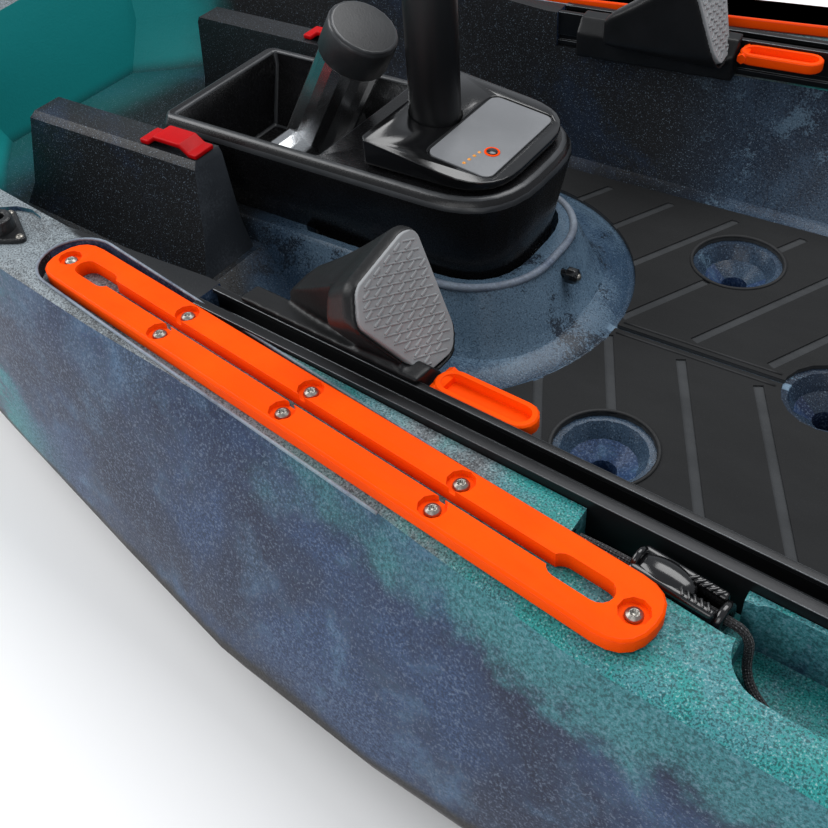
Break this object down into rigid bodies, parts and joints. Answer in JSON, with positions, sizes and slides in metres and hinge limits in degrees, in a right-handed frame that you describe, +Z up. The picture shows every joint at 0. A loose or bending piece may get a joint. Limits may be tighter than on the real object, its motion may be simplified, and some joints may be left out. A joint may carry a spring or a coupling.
{
  "type": "fishing kayak",
  "caption": "Sit-on-top fishing kayak with a drop-down motor, gear tracks, slotted gunwale plates, sliding foot braces, folding seat and bow hatch.",
  "frame": {"origin": "on the ground under the middle of the hull", "axes": "+X to the bow, +Y to port, +Z up"},
  "size_m": [3.66, 0.996, 0.7026],
  "materials": {
    "hull": "satin",
    "mat": "matte",
    "track": "satin",
    "plate": "satin",
    "moulding": "satin",
    "gloss": "gloss",
    "pad": "matte",
    "silver": "polished",
    "red": "satin",
    "cord": "matte",
    "fabric": "matte",
    "prop": "satin"
  },
  "bodies": {
    "hull": {"hull": "hull", "floor_mat_port": "mat", "floor_mat_starboard": "mat", "gear_track_port": "track", "gear_track_starboard": "track", "slotted_plate_port": "plate", "slotted_plate_starboard": "plate", "mount_base_port": "moulding", "mount_base_starboard": "moulding", "cord_cleat": "gloss", "pull_cord": "cord", "cord_knot": "cord", "motor_housing": "moulding", "motor_cover": "gloss", "seat_frame": "silver", "seat_cushion": "fabric", "hatch_hinge": "moulding", "rod_holder_port": "moulding", "rod_holder_starboard": "moulding", "bow_handle": "moulding", "stern_handle": "moulding", "handle_anchor_port": "moulding", "handle_anchor_starboard": "moulding"},
    "motor_column": {"motor_column": "track", "column_cap": "moulding"},
    "motor_pod": {"motor_pod": "moulding"},
    "propeller": {"propeller": "prop"},
    "lock_lever": {"lock_lever": "silver", "lever_cap": "moulding"},
    "lock_pin": {"lock_pin": "moulding"},
    "release_strap_port": {"release_strap_port": "red"},
    "release_strap_starboard": {"release_strap_starboard": "red"},
    "foot_brace_port": {"brace_carriage_port": "moulding", "foot_pad_port": "pad"},
    "foot_brace_starboard": {"brace_carriage_starboard": "moulding", "foot_pad_starboard": "pad"},
    "release_lever_port": {"release_lever_port": "plate"},
    "release_lever_starboard": {"release_lever_starboard": "plate"},
    "hatch_lid": {"hatch_lid": "moulding"},
    "hatch_dog_port": {"hatch_dog_port": "moulding"},
    "hatch_dog_starboard": {"hatch_dog_starboard": "moulding"},
    "seat_back": {"seat_back_frame": "silver", "back_cushion": "fabric"},
    "side_handle_port": {"side_handle_port": "moulding"},
    "side_handle_starboard": {"side_handle_starboard": "moulding"},
    "drain_plug": {"drain_plug": "moulding"}
  },
  "joints": [
    {"name": "motor_drop", "type": "slide", "parent": "hull", "child": "motor_column", "axis": [0, 0, 1], "range_m": [-0.26, 0]},
    {"name": "motor_steer", "type": "hinge", "parent": "motor_column", "child": "motor_pod", "pos_m": [0.825, 0, 0.1], "axis": [0, 0, 1], "range_deg": [-170, 170]},
    {"name": "propeller_spin", "type": "hinge", "parent": "motor_pod", "child": "propeller", "pos_m": [0.7, 0, 0.067], "axis": [1, 0, 0], "continuous": true},
    {"name": "lock_lever_swing", "type": "hinge", "parent": "hull", "child": "lock_lever", "pos_m": [0.975, 0, 0.256], "axis": [0, 1, 0], "range_deg": [0, 60]},
    {"name": "lock_pin_pull", "type": "slide", "parent": "hull", "child": "lock_pin", "axis": [-1, 0, 0], "range_m": [0, 0.008], "stiffness_N_per_m": 300},
    {"name": "release_strap_lift_port", "type": "hinge", "parent": "hull", "child": "release_strap_port", "pos_m": [1.071, 0.127, 0.3003], "axis": [0, 1, 0], "range_deg": [0, 60]},
    {"name": "foot_brace_slide_port", "type": "slide", "parent": "hull", "child": "foot_brace_port", "axis": [0.9965, -0.0837, 0], "range_m": [-0.4, 0.02]},
    {"name": "release_lever_lift_port", "type": "hinge", "parent": "foot_brace_port", "child": "release_lever_port", "pos_m": [0.63796, 0.28508, 0.2985], "axis": [0.0837, 0.9965, 0], "range_deg": [0, 25], "stiffness_Nm_per_rad": 0.05, "springref_deg": -5.73},
    {"name": "hatch_dog_turn_port", "type": "hinge", "parent": "hull", "child": "hatch_dog_port", "pos_m": [1.466, 0.12225, 0.4186], "axis": [0, 0, 1], "range_deg": [0, 90]},
    {"name": "side_handle_swing_port", "type": "hinge", "parent": "hull", "child": "side_handle_port", "pos_m": [-0.02, 0.48796, 0.236], "axis": [1, 0, 0], "range_deg": [0, 80]},
    {"name": "release_strap_lift_starboard", "type": "hinge", "parent": "hull", "child": "release_strap_starboard", "pos_m": [1.071, -0.127, 0.3003], "axis": [0, 1, 0], "range_deg": [0, 60]},
    {"name": "foot_brace_slide_starboard", "type": "slide", "parent": "hull", "child": "foot_brace_starboard", "axis": [0.9965, 0.0837, 0], "range_m": [-0.4, 0.02]},
    {"name": "release_lever_lift_starboard", "type": "hinge", "parent": "foot_brace_starboard", "child": "release_lever_starboard", "pos_m": [0.63796, -0.28508, 0.2985], "axis": [-0.0837, 0.9965, 0], "range_deg": [0, 25], "stiffness_Nm_per_rad": 0.05, "springref_deg": -5.73},
    {"name": "hatch_dog_turn_starboard", "type": "hinge", "parent": "hull", "child": "hatch_dog_starboard", "pos_m": [1.466, -0.12225, 0.4186], "axis": [0, 0, 1], "range_deg": [-90, 0]},
    {"name": "side_handle_swing_starboard", "type": "hinge", "parent": "hull", "child": "side_handle_starboard", "pos_m": [-0.02, -0.48796, 0.236], "axis": [1, 0, 0], "range_deg": [-80, 0]},
    {"name": "hatch_lid_swing", "type": "hinge", "parent": "hull", "child": "hatch_lid", "pos_m": [1.7, 0, 0.4093], "axis": [0, 1, 0], "range_deg": [0, 95]},
    {"name": "seat_back_fold", "type": "hinge", "parent": "hull", "child": "seat_back", "pos_m": [-0.418, 0, 0.266], "axis": [0, 1, 0], "range_deg": [0, 95]},
    {"name": "drain_plug_turn", "type": "hinge", "parent": "hull", "child": "drain_plug", "pos_m": [-1.822, 0, 0.262], "axis": [-1, 0, 0], "range_deg": [0, 270]}
  ]
}
